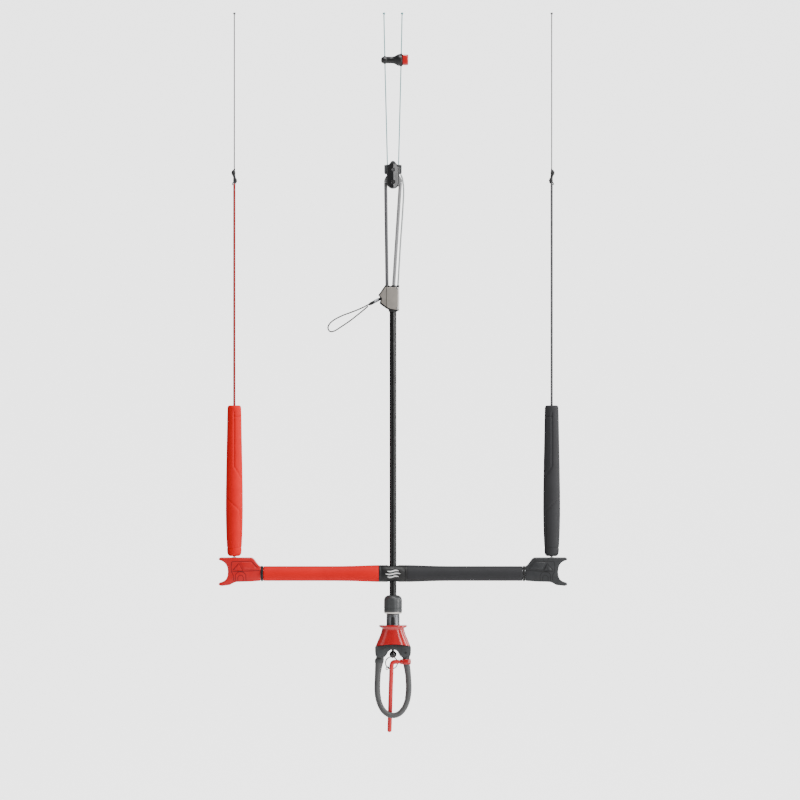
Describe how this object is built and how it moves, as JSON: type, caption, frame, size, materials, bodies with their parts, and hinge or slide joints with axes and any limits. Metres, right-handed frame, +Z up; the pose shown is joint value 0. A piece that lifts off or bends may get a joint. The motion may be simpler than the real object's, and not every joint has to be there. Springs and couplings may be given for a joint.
{
  "type": "kitesurf control bar",
  "caption": "Kitesurf control bar with a sliding, tilting grip bar, rope floats, a trim block and cleat, and a sprung quick release with a hinged harness loop.",
  "frame": {"origin": "middle of the two front lines' cut upper ends, where the kite would pull", "axes": "+Z up along the lines towards the kite, -Y towards the rider, +X to the rider's right"},
  "size_m": [0.522, 0.0311, 1.0806],
  "materials": {
    "line": "woven line, satin",
    "rope_grey": "braided, matte",
    "rope_red": "braided, matte",
    "rope_black": "braided, matte",
    "plastic_black": "gloss",
    "plastic_dark": "satin",
    "plastic_grey": "matte",
    "plastic_red": "gloss",
    "bush_white": "satin",
    "foam_red": "foam, matte",
    "foam_grey": "foam, matte",
    "plate": "brushed",
    "tube_metal": "satin",
    "neck_metal": "satin",
    "steel": "polished",
    "tube_black": "gloss"
  },
  "bodies": {
    "front_lines": {"front_line_left": "line", "front_line_right": "line", "front_knot_left": "line", "front_knot_right": "line", "line_separator": "plastic_dark", "separator_tab": "plastic_red", "block_crosshead": "plastic_dark", "block_cheek_front": "plastic_black", "block_cheek_back": "plastic_black", "block_eyelet": "steel", "block_axle": "steel", "trim_turn": "rope_grey", "trim_leg_left": "rope_grey", "trim_leg_right": "rope_grey", "safety_line": "line"},
    "sheave": {"block_sheave": "steel"},
    "depower_line": {"cleat_body": "plastic_black", "cleat_plate_front": "plate", "cleat_plate_back": "plate", "cleat_screw_upper": "steel", "cleat_screw_lower": "steel", "depower_tube": "tube_black", "depower_rope": "rope_grey", "stopper_barrel": "plastic_dark"},
    "trim_tail": {"tail_ferrule": "steel", "tail_wrap": "plastic_black", "pull_loop": "rope_black"},
    "bush": {"centre_bush": "bush_white"},
    "bar": {"centre_block": "plastic_black", "core_tube_left": "tube_metal", "core_tube_right": "tube_metal", "grip_left": "foam_red", "grip_right": "foam_grey", "bar_ring_left": "plastic_black", "bar_ring_right": "plastic_black", "end_cap_left": "plastic_red", "end_cap_right": "plastic_dark"},
    "left_float": {"float_left": "foam_red", "leader_left": "rope_red", "pigtail_knot_left": "rope_black", "steering_line_left": "rope_grey", "steering_knot_left": "rope_grey"},
    "right_float": {"float_right": "foam_grey", "leader_right": "rope_grey", "pigtail_knot_right": "rope_black", "steering_line_right": "rope_grey", "steering_knot_right": "rope_grey"},
    "release_core": {"swivel_neck": "neck_metal", "fork_body": "plastic_dark", "swivel_ball": "plastic_black", "loop_pin": "steel", "release_spring": "steel"},
    "handle": {"release_handle": "plastic_red"},
    "hook_loop": {"chicken_loop": "plastic_grey", "finger_collar": "plastic_red"},
    "finger": {"retention_finger": "plastic_red"},
    "ring": {"leash_ring": "steel", "split_ring": "steel"}
  },
  "joints": [
    {"name": "trim_slide", "type": "slide", "parent": "front_lines", "child": "depower_line", "axis": [0, 0, 1], "range_m": [0, 0.07], "deforming": ["trim_leg_left", "trim_leg_right", "safety_line"]},
    {"name": "sheave_spin", "type": "hinge", "parent": "front_lines", "child": "sheave", "pos_m": [0, 0, -0.2543], "axis": [0, -1, 0], "continuous": true},
    {"name": "tail_pull", "type": "slide", "parent": "depower_line", "child": "trim_tail", "axis": [-0.8276, -0.34, -0.4467], "range_m": [0, 0.14]},
    {"name": "bar_slide", "type": "slide", "parent": "depower_line", "child": "bush", "axis": [0, 0, 1], "range_m": [-0.016, 0.37]},
    {"name": "bar_tilt", "type": "hinge", "parent": "bush", "child": "bar", "pos_m": [0, 0, -0.8415], "axis": [0, 1, 0], "range_deg": [-15, 15]},
    {"name": "left_leader_bend", "type": "hinge", "parent": "bar", "child": "left_float", "pos_m": [-0.238, 0, -0.8174], "axis": [0, 1, 0], "range_deg": [-15, 15]},
    {"name": "right_leader_bend", "type": "hinge", "parent": "bar", "child": "right_float", "pos_m": [0.238, 0, -0.8174], "axis": [0, 1, 0], "range_deg": [-15, 15]},
    {"name": "loop_swivel", "type": "hinge", "parent": "depower_line", "child": "release_core", "pos_m": [0, 0, -0.9], "axis": [0, 0, 1], "continuous": true},
    {"name": "release_slide", "type": "slide", "parent": "release_core", "child": "handle", "axis": [0, 0, 1], "range_m": [0, 0.014], "stiffness_N_per_m": 600, "springref_m": -0.02, "deforming": ["release_spring"]},
    {"name": "loop_open", "type": "hinge", "parent": "release_core", "child": "hook_loop", "pos_m": [0.0194, 0, -0.96], "axis": [0, -1, 0], "range_deg": [0, 90]},
    {"name": "finger_swing", "type": "hinge", "parent": "hook_loop", "child": "finger", "pos_m": [0, -0.003, -0.9738], "axis": [1, 0, 0], "range_deg": [0, 20]},
    {"name": "ring_swing", "type": "hinge", "parent": "release_core", "child": "ring", "pos_m": [-0.0012, 0.0074, -0.9671], "axis": [1, 0, 0], "range_deg": [0, 60]}
  ],
  "couplings": [
    {"joint": "sheave_spin", "follows": "trim_slide", "rad_per_m": 90.909},
    {"joint": "tail_pull", "follows": "trim_slide", "ratio": 2},
    {"joint": "left_leader_bend", "follows": "bar_tilt", "ratio": -1},
    {"joint": "right_leader_bend", "follows": "bar_tilt", "ratio": -1},
    {"joint": "loop_open", "follows": "release_slide", "rad_per_m": 112}
  ]
}
